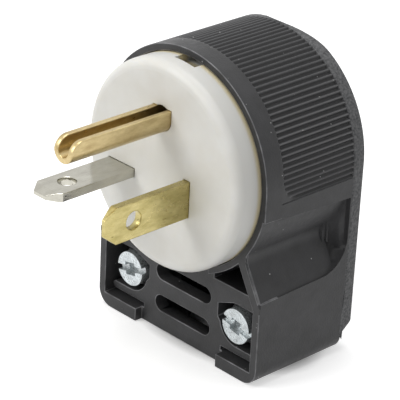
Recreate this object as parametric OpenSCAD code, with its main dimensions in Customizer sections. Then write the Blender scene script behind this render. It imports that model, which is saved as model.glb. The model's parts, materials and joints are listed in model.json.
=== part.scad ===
// Angled grounding plug: an upright shell whose blades stand square to the cord entry in its base.
// The origin is on the base plane at the axis of the cord entry; the blades point along -Y.

/* [Contacts] */
// Width of both flat blades
blade_w = 6.35; // [6.2:0.05:6.5]
// Thickness of both flat blades
blade_t = 1.52; // [1.4:0.02:1.65]
// Length of the flat blades ahead of the disc's face
blade_l = 17.5; // [16:0.1:18.3]
// Distance of the line blade to the right of the middle
line_x = 6.35; // [6.2:0.05:6.5]
// Distance of the neutral blade to the left of the middle
neutral_x = 9.13; // [9:0.01:9.3]
// Height of the flat blades above the base
blade_z = 31.15; // [30.8:0.05:31.8]
// Radius of the hole in each flat blade
blade_hole_r = 1.6; // [1.4:0.05:2]
// Distance of that hole from the disc's face
blade_hole_l = 11.7; // [11:0.1:12.5]
// Length of the slanted corners at a blade's tip
blade_tip_l = 2.2; // [1.5:0.1:3]
// Depth of the coined bevel at a blade's tip
blade_bevel = 0.4; // [0.2:0.05:0.6]
// Height of the ground pin above the flat blades
ground_rise = 11.9; // [11.7:0.05:12.1]
// Length of the ground pin ahead of the disc's face
ground_l = 20.6; // [19:0.1:21.5]
// Outside width of the ground pin
ground_w = 4.3; // [4:0.05:4.8]
// Height of the ground pin's channel
ground_h = 4; // [3.7:0.05:4.4]
// Sheet thickness of the ground pin
ground_t = 1; // [0.8:0.05:1.2]

/* [Housing] */
// Width of the shell
body_w = 38.85; // [38:0.05:41]
// Height of the arch's centre above the base
arch_z = 34.35; // [34:0.05:35]
// Depth of the front housing, from its rim to the parting plane
body_d = 20.15; // [19.4:0.05:21]
// Thickness of the shell's walls
wall = 1.5; // [1.4:0.05:1.9]
// Thickness of the base
base_t = 2; // [1.6:0.1:2.4]
// Radius of the lower outer corners
corner_r = 3; // [2:0.1:4]
// Thickness of the rear cover
cover_t = 2.6; // [2.4:0.05:3.2]
// Height of the rear cover's lower edge above the base
cover_low = 2.9; // [2.2:0.1:3.4]
// Rise of that edge towards the back
cover_chamfer = 2; // [1.5:0.1:3.5]
// Radius of the rear cover's rounded top, seen from the side
cover_r = 3; // [2.7:0.05:4]
// Height of that rounding below the top of the arch
cover_drop = 2.95; // [2.6:0.05:3]

/* [Cord] */
// Radius of the cord entry
cord_r = 6.5; // [5:0.1:6.8]
// Thickness of the cord saddle's strap, behind the cord
strap_t = 1.7; // [1.4:0.05:2]
// Depth of the cord saddle's ends
saddle_d = 4; // [3:0.1:4.5]
// Height of the cord saddle
saddle_h = 8; // [6:0.1:8.5]
// Depth of the saddle's grooves
tooth_h = 0.5; // [0.3:0.05:0.7]

/* [Finger notches] */
// Drop of the shoulders' front ends below the arch's centre
shoulder_drop = 4.2; // [3:0.1:6]
// Fall of the shoulders towards the parting plane
shoulder_fall = 1.25; // [0.5:0.05:2]
// Drop of the notch's inner corner below the arch's centre
crease_drop = 11.85; // [11:0.05:12.2]
// Radius of that inner corner
crease_r = 2.5; // [1.5:0.1:5]
// Height of the notch's lower edge above the base
notch_z = 15.2; // [14.5:0.1:16.5]
// Rise of the lower edge towards the parting plane
notch_rise = 0.6; // [0.3:0.05:1.2]
// Step from the notch's floor down to the rim
notch_step = 0.3; // [0.15:0.05:0.5]
// Radius of the concave wall that closes the notch at the back
notch_end_r = 3; // [2:0.1:4]
// Radius of the notch's lower back corner
notch_r = 5.5; // [3:0.1:6]
// Depth of the pit in the notch's back corner
pit_depth = 1.1; // [0.6:0.05:1.3]

/* [Ribs] */
// Distance between neighbouring ribs along the arch
rib_pitch = 1; // [0.9:0.05:1.6]
// Depth of the grooves between ribs
groove_depth = 0.26; // [0.16:0.02:0.5]
// Width of a groove at its mouth
groove_w = 0.62; // [0.4:0.02:0.7]
// Distance of the ribs behind the rim
rib_setback = 3.7; // [2.5:0.1:6]
// How far the ribbed field runs below the arch's centre, along the arch
rib_overrun = 1.9; // [0:0.1:3]
// Radius of the ribbed field's lower front corner
rib_corner_r = 4; // [1:0.1:6]

/* [Front plate] */
// Step from the rim down to the plate's face
plate_setback = 1.55; // [1:0.05:1.8]
// Thickness of the plate
plate_t = 2.6; // [2:0.1:2.8]
// Height of the plate's top edge above the base
plate_top = 15.1; // [14.6:0.1:15.6]
// Width of the bridge from the plate to the collar
bridge_w = 14.4; // [8:0.1:16]
// Height of a slot
slot_h = 3; // [2:0.1:3.4]
// Height of the lower slot's middle above the base
slot_z = 5; // [4.5:0.1:5.5]
// Distance between the two slots' middles
slot_pitch = 6; // [5:0.1:6.2]
// Distance of the slots' ends from the screw cups
slot_gap = 2.4; // [1.6:0.1:4]
// Height of the foot lips below the clamp screws
lip_h = 2.4; // [1.8:0.05:2.7]

/* [Clamp screws] */
// Distance of each clamp screw from the shell's side
clamp_inset = 6.4; // [6.2:0.05:6.6]
// Height of the clamp screws above the base
clamp_z = 8.5; // [8.3:0.05:8.8]
// Radius of a clamp screw's head
clamp_head_r = 3.1; // [2.8:0.05:3.3]
// Height of a clamp screw's head
clamp_head_h = 2.4; // [2:0.1:2.8]
// Radius of a clamp screw's shank
clamp_shank_r = 1.95; // [1.7:0.05:2.1]
// Room around a clamp screw's head
cup_room = 0.85; // [0.6:0.05:1]
// Length of the brass inserts
insert_l = 3.2; // [2.8:0.1:3.6]
// Radius of the brass inserts
insert_r = 2.9; // [2.7:0.05:3.1]

/* [White disc] */
// Thickness of the collar around the disc
collar_t = 1.2; // [1:0.05:1.6]
// How far the disc's face stands ahead of the rim
disc_rise = 5.05; // [4.5:0.05:6]
// Radius of the disc's front edge
disc_edge_r = 1.8; // [1:0.1:2.2]
// Depth of the disc's seat behind the rim
seat_depth = 3; // [2.5:0.1:3.4]
// Thickness of the ledge that the disc seats on
ledge_t = 2; // [1.6:0.1:2.4]
// Width of the key notch in the disc's back edge
key_w = 4.6; // [3:0.1:6]
// Distance of the key notch to the right of the middle
key_x = 1.1; // [0:0.1:2]
// Length of the key notch ahead of the rim
key_l = 1.6; // [1:0.1:2.5]
// Depth of the key notch
key_depth = 1.4; // [0.8:0.1:2]

/* [Terminals] */
// Radius of a terminal screw's head
term_head_r = 3.3; // [3:0.05:3.4]
// Height of a terminal screw's head
term_head_h = 2.2; // [1.8:0.1:2.6]
// Radius of a terminal screw's shank
term_shank_r = 2; // [1.8:0.05:2.1]
// Length of a terminal screw's shank ahead of its tab
term_shank_l = 4; // [3:0.1:4.5]
// Side of a square pressure plate
press_w = 7; // [6.8:0.05:7.1]
// Thickness of a pressure plate
press_t = 1.2; // [1:0.1:1.5]
// Thickness of the retainer
retainer_t = 2; // [1.6:0.1:2.4]
// Height of the barriers between the terminals
barrier_h = 5; // [3:0.1:6]
// Length of the barriers
barrier_l = 14; // [10:0.1:15]
// Radius of a retainer screw's head
ret_head_r = 2.3; // [2:0.05:2.5]
// Height of a retainer screw's head
ret_head_h = 1.6; // [1.2:0.1:2]
// Radius of a retainer screw's shank
ret_shank_r = 1.25; // [1:0.05:1.4]

/* [Hidden] */
$fn = 64;

// Clearances, and the overlap that keeps cuts clean
fit = 0.12;
slip = 0.15;
over = 1;

// Main planes along Y: the cord and its strap set the parting plane
part_y = cord_r + strap_t;
back_y = part_y + cover_t;
rim_y = part_y - body_d;
face_y = rim_y - disc_rise;
seat_y = rim_y + seat_depth;
ledge_y = seat_y + ledge_t;
plate_y = rim_y + plate_setback;
plate_back_y = plate_y + plate_t;

// Shell: the notch's floor leans from the side wall in to a corner on the arch
arch_r = body_w / 2;
arch_top = arch_z + arch_r;
inner_x = arch_r - wall;
far = body_w;
shoulder_z = arch_z - shoulder_drop;
crease_z = arch_z - crease_drop;
crease_x = sqrt(arch_r * arch_r - crease_drop * crease_drop);
floor_slope = (arch_r - crease_x) / (crease_z - notch_z);
floor_t = 2.2;
knee_z = notch_z - (floor_t - wall) / floor_slope;

// Back end of a finger notch, and the triangular pit in its corner
notch_edge = 0.15;
notch_end_y = part_y - notch_edge;
rim_step_l = 0.3;
pit_l = 2.45;
pit_y = part_y - pit_l;
pit_h = 5.3;
pit_z = notch_z + pit_h;
pit_fall = 1.6;
pit_wall = 0.5;

// Ribbed field
rib_angle = rib_pitch / arch_r * 180 / PI;
rib_reach = rib_overrun / arch_r * 180 / PI;
rib_count = floor((180 + 2 * rib_reach) / rib_angle);

// Clamp screws: the heads stand just ahead of the plate's face, in pockets open to the side walls
clamp_x = arch_r - clamp_inset;
head_rise = 0.3;
clamp_face_y = plate_y - head_rise;
clamp_seat_y = clamp_face_y + clamp_head_h;
cup_r = clamp_head_r + cup_room;
boss_wall = 1.5;
boss_r = clamp_shank_r + slip + boss_wall;
insert_cap = 1;
insert_y = back_y - insert_cap - insert_l;
saddle_y = insert_y - saddle_d;
boss_gap = 0.3;
boss_end_y = saddle_y - boss_gap;
cover_boss_r = boss_r + over;
strap_gap = 0.225;

// Pockets: each has a shelf below the screw, over a slit along the foot lip
pocket_wall = 1.2;
relief_w = 0.6;
pocket_x = clamp_x - cup_r - relief_w;
head_room = 0.75;
pocket_top = clamp_z + clamp_head_r + head_room;
relief_drop = 1.4;
relief_z = pocket_top - relief_drop;
pocket_depth = 3;
pocket_end_y = clamp_seat_y + pocket_depth;
pocket_back_t = 1.5;
shelf_z = clamp_z - cup_r;
slit_h = 0.8;
relief_turn = 35;
shelf_gap = 0.45;
lip_x = clamp_x - clamp_head_r;
slit_l = 0.4;
slit_x = lip_x - slit_l;

// Slots of the plate
slot_l = 2 * (clamp_x - cup_r - slot_gap);

// Contacts: the tabs lie in the carrier's back, under the retainer
tab_y = ledge_y - blade_t;
tab_l = 9.6;
tab_margin = 3.2;
ground_z = blade_z + ground_rise;
line_term_out = 3.5;
line_term = [line_x + line_term_out, blade_z];
neutral_term_rise = 5;
neutral_term = [-neutral_x, blade_z + neutral_term_rise];
ground_term_drop = 6.1;
ground_term = [0, ground_z - ground_term_drop];
ground_tab_w = 6.6;
room = 0.05;
shank_room = 0.3;
tip_room = 0.6;
term_tip_y = tab_y - term_shank_l;

// Disc: its seat is in the collar, and the ledge's opening clears the contacts
disc_r = arch_r - collar_t - fit;
ledge_room = 1.2;
ledge_r = norm([neutral_x + blade_w / 2, blade_z + tab_l - arch_z]) + ledge_room;
plug_room = 0.2;
plug_r = ledge_r - plug_room;

// Retainer
window_room = 0.4;
retainer_room = 0.75;
retainer_r = inner_x - retainer_room;
retainer_y = ledge_y + retainer_t;
barrier_t = 1;
barrier_low = 4;
ret_low_x = -5.5;
ret_low_drop = 10.8;
ret_low = [ret_low_x, arch_z - ret_low_drop];
ret_high_x = 9.3;
ret_high_rise = 7.8;
ret_high = [ret_high_x, arch_z + ret_high_rise];
ret_cover_t = 4;
ret_tip_y = face_y + ret_cover_t;

// Locating tongue of the rear cover, and the sill of the base below it
tongue_h = 1.5;
tongue_t = 1.2;
sill_t = 1.6;

// Drives of the screws
drive_w = 1;
drive_depth = 0.9;
recess_w = 2.3;
recess_depth = 1.6;
drive_tilt = 12;
tooth_count = 3;

housing_colour = [0.24, 0.24, 0.25];
cover_colour = [0.30, 0.30, 0.31];
white_colour = [0.86, 0.86, 0.83];
brass_colour = [0.78, 0.63, 0.33];
nickel_colour = [0.75, 0.75, 0.73];
zinc_colour = [0.80, 0.81, 0.82];
green_colour = [0.20, 0.50, 0.27];

// Points along an arc, from angle a0 to a1 in n steps
function arc(x, y, r, a0, a1, n) =
    [for (i = [0:n]) [x + r * cos(a0 + (a1 - a0) * i / n), y + r * sin(a0 + (a1 - a0) * i / n)]];

// A front-view (X, Z) profile drawn out along Y
module along_y(y0, y1) {
    translate([0, y1, 0]) rotate([90, 0, 0]) linear_extrude(y1 - y0) children();
}

// A side-view (Y, Z) profile drawn out along X
module along_x(x0, x1) {
    translate([x0, 0, 0]) rotate([90, 0, 90]) linear_extrude(x1 - x0) children();
}

// A round bar along Y at a front-view place
module rod(place, r, y0, y1) {
    translate([place[0], y1, place[1]]) rotate([90, 0, 0]) cylinder(r = r, h = y1 - y0);
}

module both_sides() {
    children();
    mirror([1, 0, 0]) children();
}

// The shell's outline in front view: an arch on straight sides with rounded lower corners
module shell_outline() {
    translate([0, arch_z]) circle(arch_r, $fn = 128);
    translate([-arch_r, corner_r]) square([body_w, arch_z - corner_r]);
    translate([corner_r - arch_r, 0]) square([body_w - 2 * corner_r, 2 * corner_r]);
    for (side = [-1, 1]) translate([side * (arch_r - corner_r), corner_r]) circle(corner_r);
}

// The hollow of the front housing in front view, narrowed beside the finger notches
module hollow_outline() {
    neck_x = crease_x - floor_t;
    translate([0, arch_z]) circle(inner_x, $fn = 128);
    polygon([
        [-inner_x, base_t], [inner_x, base_t], [inner_x, knee_z], [neck_x, crease_z],
        [neck_x, arch_z], [-neck_x, arch_z], [-neck_x, crease_z], [-inner_x, knee_z]
    ]);
}

// Front view of the right finger notch, its floor sunk by an inset and its corner on the arch rounded
module notch_outline(inset) {
    centre = [0, arch_z];
    start = [crease_x - inset, crease_z];
    end = [arch_r - inset, notch_z];
    down = (end - start) / norm(end - start);
    out = [-down[1], down[0]];
    lead = start + crease_r * out - centre;
    slide = sqrt((lead * down) ^ 2 - lead * lead + (arch_r + crease_r) ^ 2) - lead * down;
    hub = start + crease_r * out + slide * down;
    inward = (centre - hub) / norm(centre - hub);
    low = notch_z - over;
    difference() {
        polygon(concat(
            [[end[0] + over * floor_slope, low]],
            arc(hub[0], hub[1], crease_r, 180 + atan2(out[1], out[0]), atan2(inward[1], inward[0]), 8),
            [hub + (crease_r + 2) * inward, [crease_x, arch_z], [far, arch_z], [far, low]]
        ));
        translate(centre) circle(arch_r, $fn = 128);
    }
}

// Heights of the notch's upper and lower edges along Y
function shoulder_at(y) = shoulder_z - shoulder_fall * (y - rim_y) / body_d;
function lower_at(y) = notch_z + notch_step + notch_rise * (y - rim_y) / body_d;

// Side view of a finger notch: slanted edges, and a rounded lower corner at the back
module notch_side() {
    arc_y = notch_end_y - notch_r;
    front_y = rim_y + rim_step_l;
    polygon(concat(
        [[rim_y - over, shoulder_at(rim_y - over)], [rim_y - over, notch_z - over / 2]],
        [[front_y, notch_z - over / 2], [front_y, lower_at(front_y)]],
        arc(arc_y, lower_at(arc_y) + notch_r, notch_r, 270, 360, 8),
        [[notch_end_y, shoulder_at(notch_end_y)]]
    ));
}

// The room of one finger notch: a step at the rim, the floor, a concave back wall and a pit in its corner
module finger_notch() {
    hub_y = notch_end_y - notch_end_r;
    intersection() {
        union() {
            along_y(rim_y - over, rim_y + rim_step_l) notch_outline(notch_step);
            intersection() {
                along_y(rim_y, part_y) notch_outline(0);
                linear_extrude(arch_z) {
                    translate([crease_x - over, rim_y - over]) square([far, hub_y - rim_y + over]);
                    translate([arch_r, hub_y]) circle(notch_end_r);
                }
            }
            intersection() {
                along_y(pit_y, part_y - pit_wall) notch_outline(pit_depth);
                along_x(0, far) polygon([
                    [pit_y - over, pit_z + over * pit_fall / (part_y - pit_y)], [part_y, pit_z - pit_fall],
                    [part_y, notch_z - over], [pit_y - over, notch_z - over]
                ]);
            }
        }
        along_x(0, far) notch_side();
    }
}

// One groove between ribs, at an angle along the arch, with its own front end
module groove(angle, front_y) {
    bottom_w = groove_w * 0.55;
    depth = groove_depth;
    translate([0, 0, arch_z]) rotate([0, -angle, 0]) translate([arch_r, 0, 0])
        along_y(front_y, part_y + over) polygon([
            [-depth, -bottom_w / 2], [-depth, bottom_w / 2],
            [depth, groove_w / 2 + depth * 0.4], [depth, -groove_w / 2 - depth * 0.4]
        ]);
}

module rib_field() {
    field_y = rim_y + rib_setback;
    for (i = [0:rib_count - 1]) {
        angle = 90 + (i - (rib_count - 1) / 2) * rib_angle;
        from_end = (min(i, rib_count - 1 - i) + 0.5) * rib_pitch;
        inside = max(rib_corner_r - from_end, 0);
        groove(angle, field_y + rib_corner_r - sqrt(rib_corner_r * rib_corner_r - inside * inside));
    }
}

// The round-ended slots of the front plate
module plate_slots() {
    straight = slot_l - slot_h;
    for (z = [slot_z, slot_z + slot_pitch]) translate([0, z]) {
        square([straight, slot_h], center = true);
        for (side = [-1, 1]) translate([side * straight / 2, 0]) circle(slot_h / 2);
    }
}

// Front view of the pocket round the right clamp screw, with the slit below it
module pocket_outline() {
    foot_r = cup_r - over / 2;
    cup_side = [clamp_x - foot_r * cos(relief_turn), clamp_z - foot_r * sin(relief_turn)];
    slit_z = lip_h + slit_h;
    translate([clamp_x, clamp_z]) circle(cup_r);
    polygon([
        cup_side, [pocket_x, clamp_z], [pocket_x, relief_z], [clamp_x - over, pocket_top],
        [inner_x, pocket_top], [inner_x, lip_h], [slit_x, lip_h], [slit_x, slit_z],
        [clamp_x, slit_z], [clamp_x, clamp_z]
    ]);
}

// Front view of the shelf below the right clamp screw, with a round tip short of the side wall
module shelf_outline() {
    shelf_r = (shelf_z - lip_h - slit_h) / 2;
    tip_x = inner_x - shelf_gap - shelf_r;
    translate([clamp_x - over, lip_h + slit_h]) square([tip_x - clamp_x + over, 2 * shelf_r]);
    translate([tip_x, shelf_z - shelf_r]) circle(shelf_r);
}

// Front view of the bridge from the plate's top up to the collar
module bridge_outline() {
    translate([-bridge_w / 2, plate_top - over]) square([bridge_w, arch_z - ledge_r - plate_top]);
}

// The plate between the side walls, bridged to the collar
module plate_outline() {
    edge_x = inner_x + wall / 2;
    intersection() {
        shell_outline();
        difference() {
            union() {
                translate([-edge_x, 0]) square([2 * edge_x, plate_top]);
                bridge_outline();
            }
            plate_slots();
            both_sides() pocket_outline();
        }
    }
}

// Behind the plate: the right pocket's walls, shelf and back, and the tube that guides the screw
module pocket() {
    wall_x = pocket_x - pocket_wall;
    wall_w = inner_x + wall / 2 - wall_x;
    end_y = pocket_end_y + pocket_back_t;
    along_y(plate_y + over, end_y) intersection() {
        shell_outline();
        difference() {
            translate([wall_x, 0]) square([wall_w, plate_top]);
            pocket_outline();
        }
    }
    along_y(plate_y, end_y) shelf_outline();
    along_y(pocket_end_y, end_y)
        translate([wall_x, base_t]) square([wall_w, pocket_top - base_t]);
    rod([clamp_x, clamp_z], boss_r, clamp_seat_y, boss_end_y);
}

// The foot lip below the right clamp screw
module foot_lip() {
    along_y(rim_y, plate_back_y) intersection() {
        shell_outline();
        translate([lip_x, -over]) square([inner_x - lip_x + wall / 2, lip_h + over]);
    }
}

module front_housing() {
    color(housing_colour)
    difference() {
        union() {
            difference() {
                along_y(rim_y, part_y) shell_outline();
                along_y(rim_y - over, part_y + over) hollow_outline();
            }
            along_y(rim_y, ledge_y) translate([0, arch_z]) circle(arch_r, $fn = 128);
            along_y(part_y - sill_t, part_y) intersection() {
                shell_outline();
                translate([-far, 0]) square([2 * far, cover_low]);
            }
            along_y(plate_y, plate_back_y) plate_outline();
            both_sides() {
                pocket();
                foot_lip();
            }
        }
        rod([0, arch_z], disc_r + fit, rim_y - over, seat_y);
        rod([0, arch_z], ledge_r, seat_y - over, ledge_y + over);
        both_sides() {
            rod([clamp_x, clamp_z], clamp_shank_r + slip, plate_y, part_y);
            finger_notch();
        }
        along_y(rim_y - over, plate_y) {
            translate([-lip_x, -over]) square([2 * lip_x, base_t + 2 * over]);
            bridge_outline();
        }
        translate([0, 0, -over]) cylinder(r = cord_r, h = base_t + 2 * over);
        rib_field();
    }
}

// Side view of the rear cover's back: slanted at the foot, straight, and rounded forward at the top
module cover_side() {
    slope = cover_chamfer / cover_t;
    top_z = arch_top - cover_drop;
    low_z = cover_low - slope * over;
    polygon([
        [part_y - over, low_z], [back_y, cover_low + cover_chamfer],
        [back_y, top_z], [part_y - over, top_z]
    ]);
    translate([back_y - cover_r, top_z]) circle(cover_r, $fn = 128);
}

module rear_cover() {
    color(cover_colour)
    difference() {
        union() {
            intersection() {
                along_y(part_y, back_y) shell_outline();
                along_x(-far, far) cover_side();
            }
            along_y(part_y - tongue_h, part_y + over / 2) difference() {
                translate([0, arch_z]) circle(inner_x - slip);
                translate([0, arch_z]) circle(inner_x - slip - tongue_t);
                translate([-far, 0]) square([2 * far, arch_z]);
            }
            both_sides() rod([clamp_x, clamp_z], cover_boss_r, insert_y, part_y + over);
        }
        both_sides() rod([clamp_x, clamp_z], insert_r + room, part_y - 2 * over, insert_y + insert_l);
    }
}

module blade_carrier() {
    color(white_colour)
    difference() {
        translate([0, 0, arch_z]) rotate([90, 0, 0]) rotate_extrude($fn = 128) polygon(concat(
            [[0, -ledge_y], [plug_r, -ledge_y], [plug_r, -seat_y], [disc_r, -seat_y]],
            arc(disc_r - disc_edge_r, -face_y - disc_edge_r, disc_edge_r, 0, 90, 6),
            [[0, -face_y]]
        ));
        along_y(rim_y - key_l, seat_y + over)
            translate([key_x - key_w / 2, arch_z + disc_r - key_depth]) square([key_w, key_depth + over]);
        line_blade_room();
        neutral_blade_room();
        ground_room();
        for (place = [line_term, neutral_term, ground_term])
            rod(place, term_shank_r + shank_room, term_tip_y - tip_room, ledge_y + over);
        for (place = [ret_low, ret_high])
            rod(place, ret_shank_r + room, ret_tip_y - tip_room, ledge_y + over);
    }
}

// Side view of a bent strip: a leg along Y at height 0 and a tab up the back
module strip_outline(front_y, tab) {
    bend_r = blade_t * 1.25;
    polygon(concat(
        [[front_y, -blade_t / 2]],
        arc(ledge_y - bend_r, bend_r - blade_t / 2, bend_r, 270, 360, 5),
        [[ledge_y, tab], [tab_y, tab], [tab_y, blade_t / 2], [front_y, blade_t / 2]]
    ));
}

// A flat blade lying in X and Y with its tab turned up; the middle of the leg is at the origin
module flat_blade(tab) {
    tip_y = face_y - blade_l;
    bevel_y = tip_y + blade_tip_l * 0.8;
    end_y = ledge_y + over;
    half = blade_w / 2;
    thin = blade_t / 2 - blade_bevel;
    full = blade_t / 2 + over / 100;
    intersection() {
        along_x(-half, half) strip_outline(tip_y, tab);
        translate([0, 0, -blade_t]) linear_extrude(2 * blade_t + tab) polygon([
            [-half, end_y], [-half, tip_y + blade_tip_l], [-half * 0.45, tip_y],
            [half * 0.45, tip_y], [half, tip_y + blade_tip_l], [half, end_y]
        ]);
        along_x(-far, far) polygon([
            [tip_y, -thin], [bevel_y, -full], [end_y, -full], [end_y, tab + over],
            [tab_y - over, tab + over], [tab_y - over, full], [bevel_y, full], [tip_y, thin]
        ]);
    }
}

// The hole near a flat blade's tip, and the screw hole in its tab
module blade_holes(tab_hole_z) {
    translate([0, face_y - blade_hole_l, -far / 2]) cylinder(r = blade_hole_r, h = far);
    rod([0, tab_hole_z], term_shank_r + room, tab_y - over, ledge_y + over);
}

module line_blade() {
    color(brass_colour) translate([line_x, 0, blade_z]) rotate([0, 90, 0]) difference() {
        flat_blade(line_term_out + tab_margin);
        blade_holes(line_term_out);
    }
}

module neutral_blade() {
    color(nickel_colour) translate([-neutral_x, 0, blade_z]) difference() {
        flat_blade(tab_l - blade_t / 2);
        blade_holes(neutral_term_rise);
    }
}

// The room for a flat blade and its tab in the carrier
module blade_room(tab) {
    half = blade_w / 2 + room;
    along_x(-half, half) polygon([
        [face_y - over, -blade_t / 2 - room], [ledge_y + over, -blade_t / 2 - room],
        [ledge_y + over, tab + room], [tab_y - room, tab + room],
        [tab_y - room, blade_t / 2 + room], [face_y - over, blade_t / 2 + room]
    ]);
}

module line_blade_room() {
    translate([line_x, 0, blade_z]) rotate([0, 90, 0]) blade_room(line_term_out + tab_margin);
}

module neutral_blade_room() {
    translate([-neutral_x, 0, blade_z]) blade_room(tab_l - blade_t / 2);
}

// Front view of the ground pin's channel, round below and open above
module channel_outline(grow) {
    r = ground_w / 2 + grow;
    top = ground_h - ground_w / 2 + grow;
    circle(r);
    translate([-r, 0]) square([2 * r, top]);
}

// Front view of the ground pin's terminal tab, below the pin
module ground_tab_outline(grow) {
    low = -ground_term_drop - ground_tab_w / 2;
    translate([-ground_tab_w / 2 - grow, low - grow]) square([ground_tab_w + 2 * grow, -low + 2 * grow]);
}

module ground_pin() {
    tip_y = face_y - ground_l;
    tip_r = ground_h * 0.6;
    color(brass_colour) translate([0, 0, ground_z]) difference() {
        union() {
            difference() {
                along_y(tip_y, ledge_y) channel_outline(0);
                along_y(tip_y - over, tab_y) {
                    circle(ground_w / 2 - ground_t);
                    translate([ground_t - ground_w / 2, 0]) square([ground_w - 2 * ground_t, ground_h]);
                }
            }
            along_y(tab_y, ledge_y) ground_tab_outline(0);
        }
        along_x(-far, far) difference() {
            translate([tip_y - over, ground_h - ground_w / 2 - tip_r]) square([tip_r + over, tip_r + over]);
            translate([tip_y + tip_r, ground_h - ground_w / 2 - tip_r]) circle(tip_r);
        }
        rod([0, -ground_term_drop], term_shank_r + room, tab_y - over, ledge_y + over);
    }
}

module ground_room() {
    translate([0, 0, ground_z]) {
        along_y(face_y - over, ledge_y + over) channel_outline(room);
        along_y(tab_y - room, ledge_y + over) ground_tab_outline(room);
    }
}

// A white plate behind the ledge, open over each terminal, with barriers between them
module terminal_retainer() {
    side = press_w + 2 * window_room;
    color(white_colour) difference() {
        union() {
            rod([0, arch_z], retainer_r, ledge_y, retainer_y);
            intersection() {
                rod([0, arch_z], retainer_r, ledge_y, retainer_y + barrier_h);
                along_y(ledge_y, retainer_y + barrier_h) {
                    barrier((neutral_term[0] + ground_term[0]) / 2);
                    barrier((line_term[0] + ground_term[0]) / 2);
                }
            }
        }
        along_y(ledge_y - over, retainer_y + over)
            for (place = [line_term, neutral_term, ground_term])
                translate(place) square(side, center = true);
        for (place = [ret_low, ret_high]) rod(place, ret_shank_r + slip, ledge_y - over, retainer_y + over);
    }
}

// Front view of one barrier
module barrier(x) {
    translate([x - barrier_t / 2, blade_z - barrier_low]) square([barrier_t, barrier_l]);
}

// A slotted screw along Y with its head at the back
module back_screw(place, head_r, head_h, shank_r, tip_y, seat_y) {
    difference() {
        union() {
            rod(place, head_r, seat_y, seat_y + head_h);
            rod(place, shank_r, tip_y, seat_y + head_h / 2);
        }
        translate([place[0] - far / 2, seat_y + head_h * 0.55, place[1] - drive_w / 2])
            cube([far, head_h, drive_w]);
    }
}

module terminal_screw(place) {
    back_screw(place, term_head_r, term_head_h, term_shank_r, term_tip_y, ledge_y + press_t);
}

module pressure_plate(place) {
    along_y(ledge_y, ledge_y + press_t) translate(place) difference() {
        square(press_w, center = true);
        circle(term_shank_r + slip);
    }
}

module retainer_screw(place) {
    back_screw(place, ret_head_r, ret_head_h, ret_shank_r, ret_tip_y, retainer_y);
}

module line_terminal_screw() { color(brass_colour) terminal_screw(line_term); }
module neutral_terminal_screw() { color(zinc_colour) terminal_screw(neutral_term); }
module ground_terminal_screw() { color(green_colour) terminal_screw(ground_term); }
module line_pressure_plate() { color(brass_colour) pressure_plate(line_term); }
module neutral_pressure_plate() { color(zinc_colour) pressure_plate(neutral_term); }
module ground_pressure_plate() { color(brass_colour) pressure_plate(ground_term); }
module retainer_screw_low() { color(zinc_colour) retainer_screw(ret_low); }
module retainer_screw_high() { color(zinc_colour) retainer_screw(ret_high); }

// A clamp screw from the front, with a slot and a square recess in its head
module clamp_screw(side) {
    place = [side * clamp_x, clamp_z];
    color(zinc_colour) difference() {
        union() {
            rod(place, clamp_head_r, clamp_face_y, clamp_seat_y);
            rod(place, clamp_shank_r, clamp_seat_y - over, insert_y + insert_l - boss_gap);
        }
        translate([place[0], clamp_face_y - over, place[1]]) rotate([0, side * drive_tilt, 0]) {
            translate([-far / 2, 0, -drive_w / 2]) cube([far, over + drive_depth, drive_w]);
            translate([-recess_w / 2, 0, -recess_w / 2]) cube([recess_w, over + recess_depth, recess_w]);
        }
    }
}

module clamp_screw_left() { clamp_screw(-1); }
module clamp_screw_right() { clamp_screw(1); }

module cover_insert(side) {
    place = [side * clamp_x, clamp_z];
    color(brass_colour) difference() {
        rod(place, insert_r, insert_y, insert_y + insert_l);
        rod(place, clamp_shank_r + room, insert_y - over, insert_y + insert_l + over);
    }
}

module cover_insert_left() { cover_insert(-1); }
module cover_insert_right() { cover_insert(1); }

// A bar on the clamp screws with a toothed hollow for the cord
module cord_saddle() {
    low = clamp_z - saddle_h / 2;
    end_x = clamp_x + boss_r;
    strap_x = clamp_x - cover_boss_r - strap_gap;
    valley_h = saddle_h / (2 * tooth_count + 1);
    color(housing_colour) difference() {
        union() {
            translate([-end_x, saddle_y, low]) cube([2 * end_x, saddle_d, saddle_h]);
            translate([-strap_x, saddle_y, low]) cube([2 * strap_x, part_y - saddle_y, saddle_h]);
        }
        translate([0, 0, low - over]) cylinder(r = cord_r, h = saddle_h + 2 * over);
        for (i = [1:tooth_count]) translate([0, 0, low + (2 * i - 1) * valley_h])
            cylinder(r = cord_r + tooth_h, h = valley_h);
        both_sides() rod([clamp_x, clamp_z], clamp_shank_r + slip, saddle_y - over, part_y);
    }
}

front_housing();
rear_cover();
blade_carrier();
terminal_retainer();
line_blade();
neutral_blade();
ground_pin();
line_terminal_screw();
neutral_terminal_screw();
ground_terminal_screw();
line_pressure_plate();
neutral_pressure_plate();
ground_pressure_plate();
retainer_screw_low();
retainer_screw_high();
clamp_screw_left();
clamp_screw_right();
cover_insert_left();
cover_insert_right();
cord_saddle();
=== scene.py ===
"""Looks of the angled plug: finishes, rounded ribs and edges, studio floor and light, and the camera.

Lengths are in millimetres; MM turns them into Blender's metres."""
import json
import math

import bmesh
import bpy
import numpy as np
from mathutils import Matrix, Vector
from mathutils.bvhtree import BVHTree


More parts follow.
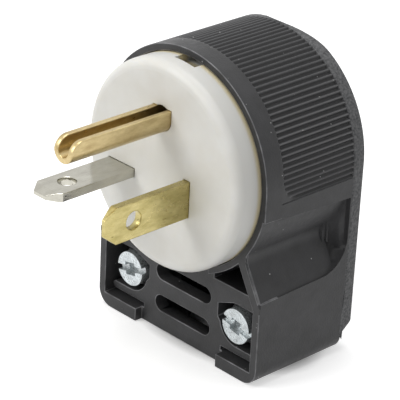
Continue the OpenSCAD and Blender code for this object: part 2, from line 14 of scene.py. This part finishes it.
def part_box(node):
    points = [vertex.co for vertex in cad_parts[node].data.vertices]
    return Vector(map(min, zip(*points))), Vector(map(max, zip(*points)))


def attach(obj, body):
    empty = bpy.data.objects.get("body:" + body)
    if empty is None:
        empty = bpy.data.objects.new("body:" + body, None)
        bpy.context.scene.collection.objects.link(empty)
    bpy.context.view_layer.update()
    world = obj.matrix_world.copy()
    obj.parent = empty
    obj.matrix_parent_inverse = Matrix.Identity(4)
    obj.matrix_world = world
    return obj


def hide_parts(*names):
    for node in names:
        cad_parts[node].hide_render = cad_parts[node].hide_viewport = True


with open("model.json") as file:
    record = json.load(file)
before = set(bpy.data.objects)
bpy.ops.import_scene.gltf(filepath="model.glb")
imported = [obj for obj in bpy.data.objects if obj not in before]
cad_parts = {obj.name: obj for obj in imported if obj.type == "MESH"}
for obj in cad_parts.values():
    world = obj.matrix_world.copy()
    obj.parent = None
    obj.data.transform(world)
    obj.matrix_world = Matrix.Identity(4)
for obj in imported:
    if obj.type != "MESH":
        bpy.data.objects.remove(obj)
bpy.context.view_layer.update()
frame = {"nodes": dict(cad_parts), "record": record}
nodes = frame["nodes"]
MM = 0.001


# Camera: the view of the photograph, fitted to the blades, the disc and the shell

FOCAL_PX = 2200
FRAME_PX = 400
SENSOR_MM = 36
CLIP_M = (0.01, 20)
# Degrees round the plug from its front, up from the floor, and of tilt in the picture
AZIMUTH, ELEVATION, ROLL = 45.447, 25.788, 2.877
# A point between the contacts, and the camera's distance and sideways shifts from it
AIM = Vector((0, -17, 31.16))
DISTANCE, PAN_X, PAN_Z = 356.21, 6.68, -2.36


def make_camera():
    """A camera that looks at the plug as the photograph does."""
    a, e, r = (math.radians(v) for v in (AZIMUTH, ELEVATION, ROLL))
    back = Vector((math.sin(a) * math.cos(e), -math.cos(a) * math.cos(e), math.sin(e)))
    level_right = Vector((math.cos(a), math.sin(a), 0))
    level_up = back.cross(level_right)
    right = level_right * math.cos(r) + level_up * math.sin(r)
    up = level_up * math.cos(r) - level_right * math.sin(r)
    data = bpy.data.cameras.new("camera")
    data.sensor_width = SENSOR_MM
    data.lens = SENSOR_MM * FOCAL_PX / FRAME_PX
    data.clip_start, data.clip_end = CLIP_M
    cam = bpy.data.objects.new("camera", data)
    bpy.context.scene.collection.objects.link(cam)
    turn = Matrix((right, up, back)).transposed().to_4x4()
    place = (AIM + right * PAN_X + up * PAN_Z + back * DISTANCE) * MM
    cam.matrix_world = Matrix.Translation(place) @ turn
    bpy.context.scene.camera = cam


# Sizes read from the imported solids

def size_of(node):
    """The low and high corners of a solid's box."""
    low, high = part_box(node)
    return [v / MM for v in low], [v / MM for v in high]


SHELL_LOW, SHELL_HIGH = size_of("front_housing")
RIM_Y, PART_Y = SHELL_LOW[1], SHELL_HIGH[1]
ARCH_R = SHELL_HIGH[0]
ARCH_Z = SHELL_HIGH[2] - ARCH_R
SCREW_FACE_Y = size_of("clamp_screw_right")[0][1]
DISC_FACE_Y = size_of("blade_carrier")[0][1]


# Materials: every finish is a Principled shader with procedural colour, roughness and relief

# A speck is full up to the first distance in its cell and gone at the second, both in cells
SPECK_CORE, SPECK_RIM = 0.14, 0.24
# Width of the step that picks the cells with a speck
SPECK_PICK = 0.02


class Finish:
    """A material that is built up from nodes; points on a surface are in millimetres."""

    def __init__(self, name, metal=0.0, stretch=(1, 1, 1)):
        self.material = bpy.data.materials.new(name)
        self.material.use_nodes = True
        self.tree = self.material.node_tree
        self.shader = self.tree.nodes["Principled BSDF"]
        self.set("Metallic", metal)
        place = self.node("ShaderNodeTexCoord")
        scale = self.node("ShaderNodeMapping")
        scale.inputs["Scale"].default_value = [v / MM for v in stretch]
        self.link(place.outputs["Object"], scale.inputs["Vector"])
        self.place = scale.outputs["Vector"]

    def node(self, kind):
        return self.tree.nodes.new(kind)

    def link(self, a, b):
        self.tree.links.new(a, b)

    def set(self, socket, value):
        """One value for the whole surface, on a socket of the shader."""
        self.shader.inputs[socket].default_value = value

    def noise(self, size, detail, rough=0.5):
        """Noise with features of about that size."""
        n = self.node("ShaderNodeTexNoise")
        n.inputs["Scale"].default_value = 1 / size
        n.inputs["Detail"].default_value = detail
        n.inputs["Roughness"].default_value = rough
        self.link(self.place, n.inputs["Vector"])
        return n.outputs["Fac"]

    def ramp(self, value, stops):
        """A colour or grey ramp over a value: (position, colour) stops."""
        r = self.node("ShaderNodeValToRGB")
        points = r.color_ramp.elements
        while len(points) < len(stops):
            points.new(0.5)
        for point, (at, colour) in zip(points, stops):
            point.position = at
            point.color = (*colour, 1) if isinstance(colour, tuple) else (colour, colour, colour, 1)
        self.link(value, r.inputs["Fac"])
        return r.outputs["Color"]

    def mottle(self, size, detail, low, high, stops=(0.3, 0.7), rough=0.5):
        """A colour or grey that drifts between two, in patches of about that size."""
        return self.ramp(self.noise(size, detail, rough), list(zip(stops, (low, high))))

    def mix(self, share, a, b, kind="MIX"):
        """Colour a blended into colour b by a share; each is a socket or a plain value."""
        m = self.node("ShaderNodeMix")
        m.data_type = "RGBA"
        m.blend_type = kind
        for value, name in ((share, "Factor"), (a, "A"), (b, "B")):
            socket = next(s for s in m.inputs if s.name == name and s.enabled)
            if isinstance(value, bpy.types.NodeSocket):
                self.link(value, socket)
            else:
                socket.default_value = value if name == "Factor" else (*value, 1)
        return next(s for s in m.outputs if s.enabled)

    def specks(self, size, share):
        """1 on small spots in that share of the cells, 0 elsewhere."""
        cells = self.node("ShaderNodeTexVoronoi")
        cells.inputs["Scale"].default_value = 1 / size
        self.link(self.place, cells.inputs["Vector"])
        near = self.ramp(cells.outputs["Distance"], [(SPECK_CORE, 1.0), (SPECK_RIM, 0.0)])
        pick = self.ramp(cells.outputs["Color"], [(1 - share, 0.0), (1 - share + SPECK_PICK, 1.0)])
        return self.mix(1.0, near, pick, "MULTIPLY")

    def along_y(self, low, high):
        """0 to 1 between two places along Y."""
        split = self.node("ShaderNodeSeparateXYZ")
        self.link(self.place, split.inputs[0])
        level = self.node("ShaderNodeMapRange")
        level.inputs["From Min"].default_value = low
        level.inputs["From Max"].default_value = high
        self.link(split.outputs["Y"], level.inputs["Value"])
        return level.outputs["Result"]

    def stored(self, name):
        """A value that the mesh holds at its points."""
        a = self.node("ShaderNodeAttribute")
        a.attribute_name = name
        return a.outputs["Fac"]

    def colour(self, socket):
        self.link(socket, self.shader.inputs["Base Color"])

    def rough(self, socket):
        self.link(socket, self.shader.inputs["Roughness"])

    def relief(self, socket, height):
        """A bump of that height."""
        b = self.node("ShaderNodeBump")
        b.inputs["Distance"].default_value = height * MM
        b.inputs["Strength"].default_value = 1.0
        self.link(socket, b.inputs["Height"])
        self.link(b.outputs["Normal"], self.shader.inputs["Normal"])


CHARCOAL_DARK, CHARCOAL_LIGHT = (0.038, 0.038, 0.039), (0.049, 0.049, 0.051)
COVER_DARK, COVER_LIGHT = (0.045, 0.046, 0.048), (0.15, 0.151, 0.154)
# The shell's rounded edges are painted lighter than the housing: partly wear, partly a painted highlight
EDGE_WEAR_AND_HIGHLIGHT_DARK, EDGE_WEAR_AND_HIGHLIGHT_LIGHT = (0.06, 0.06, 0.062), (0.26, 0.26, 0.27)
# The ribs' crests are painted lighter: partly wear, partly a painted highlight
RIB_CREST_WEAR_AND_HIGHLIGHT = (0.105, 0.105, 0.108)
PALE_SPECK = (0.42, 0.42, 0.42)
CHARCOAL_SPECULAR = 0.26
# Height of the grain as a share of its size
GRAIN_RELIEF = 0.12
# Painted shade in the ribs' valleys, and crests made lighter partly by wear and partly by a painted
# highlight, as stops over a height from 0 in a valley to 1 on a crest
VALLEY_SHADE = 0.55
VALLEY_SHADE_STOPS = [(0.0, 1.0), (0.5, 0.0)]
CREST_WEAR_AND_HIGHLIGHT_STOPS = [(0.58, 0.0), (0.96, 1.0)]


def charcoal(name, dark, light, gloss, grain=0.30, speck_share=0.10, cloud=3.0, crest=None):
    """Moulded dark plastic: a mottle, a fine grain and a few pale specks; on the ribs, painted shade in the
    valleys and crests made lighter partly by wear and partly by a painted highlight.
    """
    f = Finish(name)
    body = f.mottle(size=cloud, detail=3, low=dark, high=light)
    if crest:
        height = f.stored("rib_height")
        # Painted shade in the ribs' valleys
        body = f.mix(f.ramp(height, VALLEY_SHADE_STOPS), body, tuple(v * VALLEY_SHADE for v in dark))
        # Crests lighter: partly wear, partly a painted highlight
        body = f.mix(f.ramp(height, CREST_WEAR_AND_HIGHLIGHT_STOPS), body, crest)
    f.colour(f.mix(f.specks(size=0.6, share=speck_share), body, PALE_SPECK))
    f.rough(f.mottle(size=0.9, detail=3, low=gloss - 0.05, high=gloss + 0.06))
    f.relief(f.noise(size=grain, detail=2), height=grain * GRAIN_RELIEF)
    f.set("Specular IOR Level", CHARCOAL_SPECULAR)
    return f.material


# The disc's face is clouded between two whites, which turn into a darker white a little way behind the face:
# painted shade on the disc's wall
DISC_FACE_LOW, DISC_FACE_HIGH, DISC_WALL_SHADE = (0.72, 0.708, 0.664), (0.765, 0.76, 0.727), (0.655, 0.65, 0.62)
DISC_EDGE_START, DISC_EDGE_END = 0.4, 1.6
# A cream line round the disc starts ahead of the shell's rim and ends behind it
CREAM = (0.66, 0.58, 0.38)
CREAM_AHEAD, CREAM_BEHIND = 0.9, 2.1
CREAM_STOPS = [(0.0, 0.0), (0.2, 1.0), (0.6, 1.0), (0.8, 0.0)]
# How far red, green and blue light wanders below the surface
MILK_DEPTH = (1.2, 1.1, 0.9)


def milky_plastic():
    """The disc: milky white, faintly clouded, with painted shade on its wall and a cream line where it enters
    the shell.
    """
    f = Finish("white_nylon")
    face = f.mottle(size=5.0, detail=3, low=DISC_FACE_LOW, high=DISC_FACE_HIGH, stops=(0.3, 0.65))
    # Painted shade on the wall behind the disc's face
    milk_and_wall_shade = f.mix(f.along_y(DISC_FACE_Y + DISC_EDGE_START, DISC_FACE_Y + DISC_EDGE_END), face, DISC_WALL_SHADE)
    line = f.ramp(f.along_y(RIM_Y - CREAM_AHEAD, RIM_Y + CREAM_BEHIND), CREAM_STOPS)
    f.colour(f.mix(line, milk_and_wall_shade, CREAM))
    f.rough(f.mottle(size=1.5, detail=3, low=0.34, high=0.44))
    f.relief(f.noise(size=0.5, detail=2), height=0.004)
    f.set("Specular IOR Level", 0.36)
    f.set("Subsurface Weight", 0.25)
    f.set("Subsurface Radius", [v * MM for v in MILK_DEPTH])
    f.set("Subsurface Scale", 1.0)
    return f.material


# The rolling marks of the sheet run along Y
SHEET_STRETCH = (1, 0.35, 1)
# Share of the tarnish's colour in a dark spot
DARK_SPOT = 0.5


def sheet_metal(name, colour, tarnish, gloss):
    """Rolled and plated sheet: grain along one axis, with a little tarnish and dark spots."""
    f = Finish(name, metal=1.0, stretch=SHEET_STRETCH)
    stain = f.mottle(size=1.6, detail=5, low=colour, high=tarnish, stops=(0.36, 0.66), rough=0.7)
    f.colour(f.mix(f.specks(size=0.5, share=0.16), stain, tuple(v * DARK_SPOT for v in tarnish)))
    f.rough(f.mottle(size=0.5, detail=4, low=gloss - 0.07, high=gloss + 0.09))
    f.relief(f.noise(size=0.25, detail=3), height=0.012)
    return f.material


# Depth of a screw's drive, and how its painted shade grows over that depth
SCREW_DRIVE = 1.2
DRIVE_SHADE_STOPS = [(0.15, 0.0), (0.6, 1.0)]
ZINC_BRIGHT, ZINC_WORN, ZINC_DRIVE_SHADE = (0.66, 0.71, 0.73), (0.46, 0.49, 0.50), (0.54, 0.57, 0.58)


def plated_screw():
    """Zinc plate, bright on the head's face, with painted shade down in the drive."""
    f = Finish("zinc", metal=0.65)
    worn = f.mottle(size=0.7, detail=4, low=ZINC_BRIGHT, high=ZINC_WORN, stops=(0.35, 0.68))
    # Painted shade that deepens down into the drive
    depth = f.ramp(f.along_y(SCREW_FACE_Y, SCREW_FACE_Y + SCREW_DRIVE), DRIVE_SHADE_STOPS)
    f.colour(f.mix(depth, worn, ZINC_DRIVE_SHADE))
    f.rough(f.mottle(size=0.4, detail=3, low=0.22, high=0.36))
    f.relief(f.noise(size=0.5, detail=3), height=0.03)
    return f.material


def painted_green():
    """The green of a ground terminal."""
    f = Finish("green_metal", metal=0.5)
    f.colour(f.mottle(size=1.0, detail=3, low=(0.03, 0.20, 0.07), high=(0.05, 0.28, 0.10)))
    f.rough(f.mottle(size=0.6, detail=2, low=0.32, high=0.45))
    return f.material


# By the record's material slots, and for the shell's rounded edges and ribs
FINISH = {
    "housing": charcoal("housing", CHARCOAL_DARK, CHARCOAL_LIGHT, gloss=0.42),
    # The shell's rounded edges: lighter, partly for wear and partly as a painted highlight
    "edge": charcoal("edge", EDGE_WEAR_AND_HIGHLIGHT_DARK, EDGE_WEAR_AND_HIGHLIGHT_LIGHT, gloss=0.36),
    # Ribs with painted shade in the valleys and crests made lighter by wear and a painted highlight
    "ribs": charcoal("ribs", CHARCOAL_DARK, CHARCOAL_LIGHT, gloss=0.38, speck_share=0.14, crest=RIB_CREST_WEAR_AND_HIGHLIGHT),
    "cover": charcoal("cover", COVER_DARK, COVER_LIGHT, gloss=0.55, grain=0.40, cloud=0.42),
    "white_nylon": milky_plastic(),
    "brass": sheet_metal("brass", (0.56, 0.48, 0.22), (0.38, 0.32, 0.12), gloss=0.30),
    "ground_brass": sheet_metal("ground_brass", (0.64, 0.52, 0.28), (0.45, 0.34, 0.165), gloss=0.34),
    "nickel": sheet_metal("nickel", (0.55, 0.535, 0.47), (0.45, 0.435, 0.38), gloss=0.13),
    "zinc": plated_screw(),
    "green_metal": painted_green(),
}


# Meshes and objects

# Edges sharper than this stay sharp in smooth shading
SHARP_ANGLE = math.radians(50)


def object_of(mesh, name):
    """A new object with that mesh."""
    ob = bpy.data.objects.new(name, mesh)
    bpy.context.scene.collection.objects.link(ob)
    return ob


def result_of(ob):
    """A new mesh: the object with its modifiers."""
    bpy.context.view_layer.update()
    return bpy.data.meshes.new_from_object(ob.evaluated_get(bpy.context.evaluated_depsgraph_get()))


def remove(ob):
    """Takes an object and its mesh out of the scene."""
    data = ob.data
    bpy.data.objects.remove(ob)
    bpy.data.meshes.remove(data)


def shade_smooth(mesh):
    """Smooth shading, except over sharp edges."""
    mesh.polygons.foreach_set("use_smooth", [True] * len(mesh.polygons))
    mesh.set_sharp_from_angle(angle=SHARP_ANGLE)


def mesh_of(name, points, faces, material):
    """A new mesh from points in millimetres."""
    mesh = bpy.data.meshes.new(name)
    mesh.from_pydata([tuple(v * MM for v in p) for p in points], [], faces)
    mesh.update()
    mesh.materials.append(material)
    return mesh


def grid_faces(rows, cols, first=0, flip=False):
    """Quads between rows of points, each row with that many points."""
    faces = []
    for i in range(rows - 1):
        for j in range(cols - 1):
            a = first + i * cols + j
            quad = (a, a + 1, a + cols + 1, a + cols)
            faces.append(quad[::-1] if flip else quad)
    return faces


def smooth_step(t):
    """0 to 1 with an even start and end."""
    t = min(max(t, 0.0), 1.0)
    return t * t * (3 - 2 * t)


# Ribs: a band over the arch with rounded ribs, where the solid has plain grooves

RIB_PITCH = 1.0
RIB_DEPTH = 0.40
# The ribbed field starts behind the rim, runs a little below the arch's centre and has round front corners
RIB_SETBACK = 3.7
RIB_OVERRUN = 1.9
RIB_CORNER = 4.0
FIELD_Y = RIM_Y + RIB_SETBACK
FIELD_L = ARCH_R * math.pi + 2 * RIB_OVERRUN
# A rib runs out into the plain arch over this length; the power makes its valley wider than its crest
RIB_RUNOUT = 0.45
VALLEY_POWER = 0.8
# Height of a plain place, between a valley and a crest
FLAT_HEIGHT = 0.5
# The band laps over the field's ends, sinks into the arch and stands proud of it
BAND_LAP = 0.5
BAND_SINK = 0.6
BAND_PROUD = 0.004
# Points on each rib, cross lines behind the field's front, close where ribs run out, and even lines after
RIB_STEPS = 10
RIB_LINES = [-BAND_LAP, -0.2, 0, 0.08, 0.16, 0.24, 0.32, 0.4, 0.5, 0.7, 1.0, 1.4, 1.9, 2.5, 3.2, 4.0]
EVEN_LINES = 6
# The recess for the band laps over the band's underside, and its cutter runs past the shell's surfaces
RECESS_STEPS = 120
RECESS_LAP = 0.02
CUT_OVER = 1


def on_arch(radius, y, angle):
    """The point at a radius and an angle about the arch's centre line."""
    return radius * math.cos(angle), y, ARCH_Z + radius * math.sin(angle)


def rib_depth(along, back):
    """Depth of the ribbed surface below the arch, and its height from 0 in a valley to 1 on a crest.

    The place is given along the arch from the field's end, and behind the field's front."""
    side = min(along, FIELD_L - along)
    if side < RIB_CORNER and back < RIB_CORNER:
        inside = RIB_CORNER - math.hypot(RIB_CORNER - side, RIB_CORNER - back)
    else:
        inside = min(side, back)
    wave = (1 - math.cos(2 * math.pi * along / RIB_PITCH)) / 2
    valley = wave ** VALLEY_POWER
    grown = smooth_step(inside / RIB_RUNOUT)
    return RIB_DEPTH * valley * grown - BAND_PROUD, FLAT_HEIGHT + (1 - valley - FLAT_HEIGHT) * grown


def rib_band():
    """The ribbed band as a closed sheet, sunk in a recess of the arch."""
    even_y = FIELD_Y + RIB_LINES[-1]
    lines = [FIELD_Y + v for v in RIB_LINES]
    lines += [even_y + (PART_Y - even_y) * k / EVEN_LINES for k in range(1, EVEN_LINES + 1)]
    band_l = FIELD_L + 2 * BAND_LAP
    count = int(round(band_l / RIB_PITCH * RIB_STEPS))
    points, heights = [], []
    for ribbed in (True, False):
        for y in lines:
            for i in range(count + 1):
                along = band_l * i / count - BAND_LAP
                depth, height = rib_depth(along, y - FIELD_Y) if ribbed else (BAND_SINK, FLAT_HEIGHT)
                heights.append(height)
                points.append(on_arch(ARCH_R - depth, y, (along - RIB_OVERRUN) / ARCH_R))
    rows, cols = len(lines), count + 1
    low = rows * cols
    last = (rows - 1) * cols
    faces = grid_faces(rows, cols, flip=True) + grid_faces(rows, cols, first=low)
    for j in range(cols - 1):
        faces.append((j, j + 1, low + j + 1, low + j))
        faces.append((last + j + 1, last + j, low + last + j, low + last + j + 1))
    for i in range(rows - 1):
        a, b = i * cols, (i + 1) * cols
        faces.append((b, a, low + a, low + b))
        faces.append((a + cols - 1, b + cols - 1, low + b + cols - 1, low + a + cols - 1))
    mesh = mesh_of("rib_band", points, faces, FINISH["ribs"])
    mesh.attributes.new("rib_height", "FLOAT", "POINT").data.foreach_set("value", heights)
    shade_smooth(mesh)
    return object_of(mesh, "rib_band")


def rib_recess():
    """The room that the ribbed band fills: a closed sector that is cut from the shell."""
    start = -RIB_OVERRUN / ARCH_R
    sweep = math.pi - 2 * start
    n = RECESS_STEPS + 1
    points = []
    for r in (ARCH_R - BAND_SINK + RECESS_LAP, ARCH_R + CUT_OVER):
        for y in (FIELD_Y, PART_Y + CUT_OVER):
            points += [on_arch(r, y, start + sweep * i / RECESS_STEPS) for i in range(n)]
    faces = []
    for i in range(RECESS_STEPS):
        faces.append((i, i + 1, n + i + 1, n + i))
        faces.append((2 * n + i + 1, 2 * n + i, 3 * n + i, 3 * n + i + 1))
        faces.append((i + 1, i, 2 * n + i, 2 * n + i + 1))
        faces.append((n + i, n + i + 1, 3 * n + i + 1, 3 * n + i))
    faces.append((0, n, 3 * n, 2 * n))
    faces.append((n - 1, 2 * n + n - 1, 3 * n + n - 1, n + n - 1))
    return object_of(mesh_of("rib_recess", points, faces, FINISH["housing"]), "rib_recess")


# Pieces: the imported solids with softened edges, and the shell with its ribbed band

# Widths of the rounded edges
EDGE_MM = {
    "front_housing": 0.13, "rear_cover": 0.4, "blade_carrier": 0.15,
    "line_blade": 0.12, "neutral_blade": 0.12, "ground_pin": 0.15,
    "clamp_screw_left": 0.06, "clamp_screw_right": 0.06,
}
EDGE_DEFAULT_MM = 0.12
EDGE_SEGMENTS = 2
# Edges above this angle are rounded, in runs of about this length
EDGE_ANGLE = math.radians(32)
EDGE_RUN_MM = 1.0
# Points closer than this are one. Faces within the first angle are one, and a point that bends an edge
# by less than the second is spare
WELD_MM = 0.002
FLAT_ANGLE = math.radians(0.5)
SPARE_ANGLE = math.radians(4)
# Points this near the arch lie on it; a face that turns further than this towards Y doesn't
ARCH_SLACK = 0.03
ARCH_TURN = 0.5
# A rounded face is folded where its normal agrees with the sharp face's by less than this
FOLD_TURN = 0.1
# Edges within this many widths of a fold are eased by this factor at each try, and left sharp below
# the least share
FOLD_REACH = 2.5
FOLD_EASE = 0.5
FOLD_LEAST = 0.2
FOLD_TRIES = 8
# Squared lengths and areas below this, in square metres, count as none
TINY = 1e-12
SHADE_WEIGHT = 100


def clean_faces(ob, cutter=None):
    """Flat faces in one piece each, after a cut where one is given."""
    weld = ob.modifiers.new("weld", "WELD")
    weld.merge_threshold = WELD_MM * MM
    if cutter:
        cut = ob.modifiers.new("cut", "BOOLEAN")
        cut.object = cutter
        cut.operation = "DIFFERENCE"
        cut.solver = "EXACT"
    flat = ob.modifiers.new("flat", "DECIMATE")
    flat.decimate_type = "DISSOLVE"
    flat.angle_limit = FLAT_ANGLE


def round_edges(ob, width, limit):
    """A bevel of that width on the edges that the limit picks out, in the object's last material."""
    bevel = ob.modifiers.new("bevel", "BEVEL")
    bevel.width = width * MM
    bevel.segments = EDGE_SEGMENTS
    bevel.limit_method = limit
    bevel.angle_limit = EDGE_ANGLE
    bevel.use_clamp_overlap = False
    bevel.material = len(ob.data.materials) - 1


def even_shading(ob):
    """Normals that follow the large faces, so that rounded edges shade as edges."""
    shade = ob.modifiers.new("shade", "WEIGHTED_NORMAL")
    shade.keep_sharp = True
    shade.mode = "FACE_AREA"
    shade.weight = SHADE_WEIGHT


def split_long_edges(bm):
    """Sharp edges cut into short runs, so that each run can be rounded by its own amount."""
    for edge in [e for e in bm.edges if e.calc_face_angle(0) > EDGE_ANGLE]:
        pieces = math.ceil(edge.calc_length() / (EDGE_RUN_MM * MM))
        for left in range(pieces, 1, -1):
            bmesh.utils.edge_split(edge, edge.verts[0], 1 / left)


def under_band(places):
    """True for places, in metres, that the ribbed band hides."""
    x, y, z = places.T / MM
    return (y > FIELD_Y - BAND_PROUD) & (np.hypot(x, z - ARCH_Z) > ARCH_R - 2 * BAND_SINK)


def distance_to_runs(place, start, run):
    """Distances from a place to straight runs, each given by its start and its vector."""
    length_2 = np.maximum((run ** 2).sum(axis=1), TINY)
    along = np.clip(((place - start) * run).sum(axis=1) / length_2, 0, 1)
    return np.linalg.norm(start + run * along[:, None] - place, axis=1)


def folded_places(tree, mesh, width):
    """Places where a rounded mesh folds over, or strays by the edges' width from the sharp mesh."""
    places = []
    for face in mesh.polygons:
        _, normal, _, far = tree.find_nearest(face.center)
        if face.area > TINY and (far > width * MM or normal.dot(face.normal) < FOLD_TURN):
            places.append(face.center.copy())
    for point in mesh.vertices:
        _, _, _, far = tree.find_nearest(point.co)
        if far > width * MM:
            places.append(point.co.copy())
    return [np.array(p) for p in places]


def rounded_copy(mesh, width):
    """A copy with rounded edges, which are rounded less where the full width would fold over."""
    bm = bmesh.new()
    bm.from_mesh(mesh)
    split_long_edges(bm)
    bm.to_mesh(mesh)
    tree = BVHTree.FromBMesh(bm)
    sharp = np.array([e.calc_face_angle(0) > EDGE_ANGLE for e in bm.edges])
    start = np.array([e.verts[0].co for e in bm.edges])
    run = np.array([e.verts[1].co for e in bm.edges]) - start
    bm.free()
    share = (sharp & ~under_band(start + run / 2)).astype(np.float32)
    mesh.attributes.new("bevel_weight_edge", "FLOAT", "EDGE")
    draft = object_of(mesh, "rounding")
    round_edges(draft, width, "WEIGHT")
    copy = None
    for _ in range(FOLD_TRIES):
        if copy:
            bpy.data.meshes.remove(copy)
        mesh.attributes["bevel_weight_edge"].data.foreach_set("value", share)
        mesh.update()
        copy = result_of(draft)
        for place in folded_places(tree, copy, width):
            share[distance_to_runs(place, start, run) < FOLD_REACH * width * MM] *= FOLD_EASE
        share[share < FOLD_LEAST] = 0
    remove(draft)
    return copy


def drop_slivers(mesh):
    """Points that lie together become one, and spare points along an edge and faces with no area go."""
    bm = bmesh.new()
    bm.from_mesh(mesh)
    bmesh.ops.remove_doubles(bm, verts=bm.verts, dist=WELD_MM * MM)
    bmesh.ops.dissolve_degenerate(bm, edges=bm.edges, dist=WELD_MM * MM)
    spare = [v for v in bm.verts if len(v.link_edges) == 2 and v.calc_edge_angle(0) < SPARE_ANGLE]
    bmesh.ops.dissolve_verts(bm, verts=spare)
    bm.to_mesh(mesh)
    bm.free()


def point_out_of_arch(mesh):
    """Corner normals that point straight out of the arch on each face that lies on it."""
    normals = [corner.vector.copy() for corner in mesh.corner_normals]
    out = [Vector((v.co.x, 0, v.co.z - ARCH_Z * MM)) for v in mesh.vertices]
    touches = [o.z > 0 and abs(o.length / MM - ARCH_R) < ARCH_SLACK for o in out]
    for face in mesh.polygons:
        if abs(face.normal.y) < ARCH_TURN and all(touches[v] for v in face.vertices):
            for corner, v in zip(face.loop_indices, face.vertices):
                normals[corner] = out[v].normalized()
    mesh.normals_split_custom_set(normals)


def shell_piece():
    """The front housing with a recess for the ribbed band and softened edges."""
    cutter = rib_recess()
    draft = object_of(nodes["front_housing"].data.copy(), "shell_draft")
    draft.data.materials.clear()
    draft.data.materials.append(FINISH["housing"])
    # The rounded edges take the lighter edge finish: partly wear, partly a painted highlight
    draft.data.materials.append(FINISH["edge"])
    clean_faces(draft, cutter)
    mesh = rounded_copy(result_of(draft), EDGE_MM["front_housing"])
    remove(draft)
    remove(cutter)
    drop_slivers(mesh)
    shade_smooth(mesh)
    even = object_of(mesh, "even")
    even_shading(even)
    shell = object_of(result_of(even), "shell")
    remove(even)
    point_out_of_arch(shell.data)
    return shell


def dress_nodes():
    """Finishes and soft edges on the solids; the shell and its ribs take the front housing's place."""
    for part in frame["record"]["subparts"]:
        ob = nodes[part["node"]]
        ob.data.materials.clear()
        ob.data.materials.append(FINISH[part["material_slot"]])
        if part["node"] != "front_housing":
            clean_faces(ob)
            round_edges(ob, EDGE_MM.get(part["node"], EDGE_DEFAULT_MM), "ANGLE")
            even_shading(ob)
    shell = shell_piece()
    ribs = rib_band()
    for ob in (shell, ribs):
        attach(ob, "root")
    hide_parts("front_housing")


# Floor, world and lamps

FLOOR_MM = 4000
FLOOR_DROP_MM = 0.1
FLOOR_COLOUR = 0.82
FLOOR_ROUGH = 0.9
FLOOR_SPECULAR = 0.1
# The floor is lifted to white where it is seen, except in an oval under the plug, given by its half sizes,
# and the lift is full at this many times the oval
FLOOR_LIFT = 0.5
FOOT_MM = (16, 10, 1)
FOOT_FADE = 1.3
# The world is white where it is seen, and lights the plug with this strength
WORLD_SEEN = 1.0
WORLD_LIGHT = 0.44
LAMP_AIM = Vector((0, 0, 30))


def seen_directly(tree):
    """1 where the eye, a mirror or a clear body sees the surface, 0 where it only lights others."""
    path = tree.nodes.new("ShaderNodeLightPath")
    total = path.outputs["Is Camera Ray"]
    for name in ("Is Glossy Ray", "Is Transmission Ray"):
        most = tree.nodes.new("ShaderNodeMath")
        most.operation = "MAXIMUM"
        tree.links.new(total, most.inputs[0])
        tree.links.new(path.outputs[name], most.inputs[1])
        total = most.outputs[0]
    return total


def clear_of_foot(tree):
    """The floor's lift: none below the plug's base, full a little way outside it."""
    place = tree.nodes.new("ShaderNodeTexCoord")
    foot = tree.nodes.new("ShaderNodeMapping")
    foot.inputs["Scale"].default_value = [1 / (v * MM) for v in FOOT_MM]
    tree.links.new(place.outputs["Object"], foot.inputs["Vector"])
    size = tree.nodes.new("ShaderNodeVectorMath")
    size.operation = "LENGTH"
    tree.links.new(foot.outputs["Vector"], size.inputs[0])
    level = tree.nodes.new("ShaderNodeMapRange")
    level.inputs["From Min"].default_value = 1.0
    level.inputs["From Max"].default_value = FOOT_FADE
    level.inputs["To Max"].default_value = FLOOR_LIFT
    tree.links.new(size.outputs["Value"], level.inputs["Value"])
    return level.outputs["Result"]


def make_floor():
    """A pale floor that keeps the plug's shadow."""
    bpy.ops.mesh.primitive_plane_add(size=FLOOR_MM * MM, location=(0, 0, -FLOOR_DROP_MM * MM))
    floor = bpy.context.object
    floor.name = "floor"
    material = bpy.data.materials.new("floor")
    material.use_nodes = True
    tree = material.node_tree
    shader = tree.nodes["Principled BSDF"]
    shader.inputs["Base Color"].default_value = (FLOOR_COLOUR, FLOOR_COLOUR, FLOOR_COLOUR, 1)
    shader.inputs["Roughness"].default_value = FLOOR_ROUGH
    shader.inputs["Specular IOR Level"].default_value = FLOOR_SPECULAR
    lift = tree.nodes.new("ShaderNodeEmission")
    times = tree.nodes.new("ShaderNodeMath")
    times.operation = "MULTIPLY"
    tree.links.new(seen_directly(tree), times.inputs[0])
    tree.links.new(clear_of_foot(tree), times.inputs[1])
    tree.links.new(times.outputs[0], lift.inputs["Strength"])
    both = tree.nodes.new("ShaderNodeAddShader")
    tree.links.new(shader.outputs[0], both.inputs[0])
    tree.links.new(lift.outputs[0], both.inputs[1])
    tree.links.new(both.outputs[0], tree.nodes["Material Output"].inputs["Surface"])
    floor.data.materials.append(material)


def make_world():
    """A white world with a soft, even light."""
    world = bpy.data.worlds.new("world")
    bpy.context.scene.world = world
    world.use_nodes = True
    tree = world.node_tree
    sky = tree.nodes["Background"]
    sky.inputs["Color"].default_value = (1, 1, 1, 1)
    level = tree.nodes.new("ShaderNodeMapRange")
    level.inputs["To Min"].default_value = WORLD_LIGHT
    level.inputs["To Max"].default_value = WORLD_SEEN
    tree.links.new(seen_directly(tree), level.inputs["Value"])
    tree.links.new(level.outputs["Result"], sky.inputs["Strength"])


def lamp(name, place, size, watts):
    """A soft square lamp that faces the plug."""
    data = bpy.data.lights.new(name, "AREA")
    data.size = size * MM
    data.energy = watts
    ob = bpy.data.objects.new(name, data)
    ob.location = Vector(place) * MM
    ob.rotation_euler = (LAMP_AIM - Vector(place)).to_track_quat("-Z", "Y").to_euler()
    bpy.context.scene.collection.objects.link(ob)


make_camera()
make_floor()
make_world()
lamp("key", place=(-280, -520, 450), size=350, watts=1.95)
lamp("top", place=(-50, 50, 700), size=360, watts=2.25)
dress_nodes()
bpy.context.scene.view_settings.view_transform = "Standard"
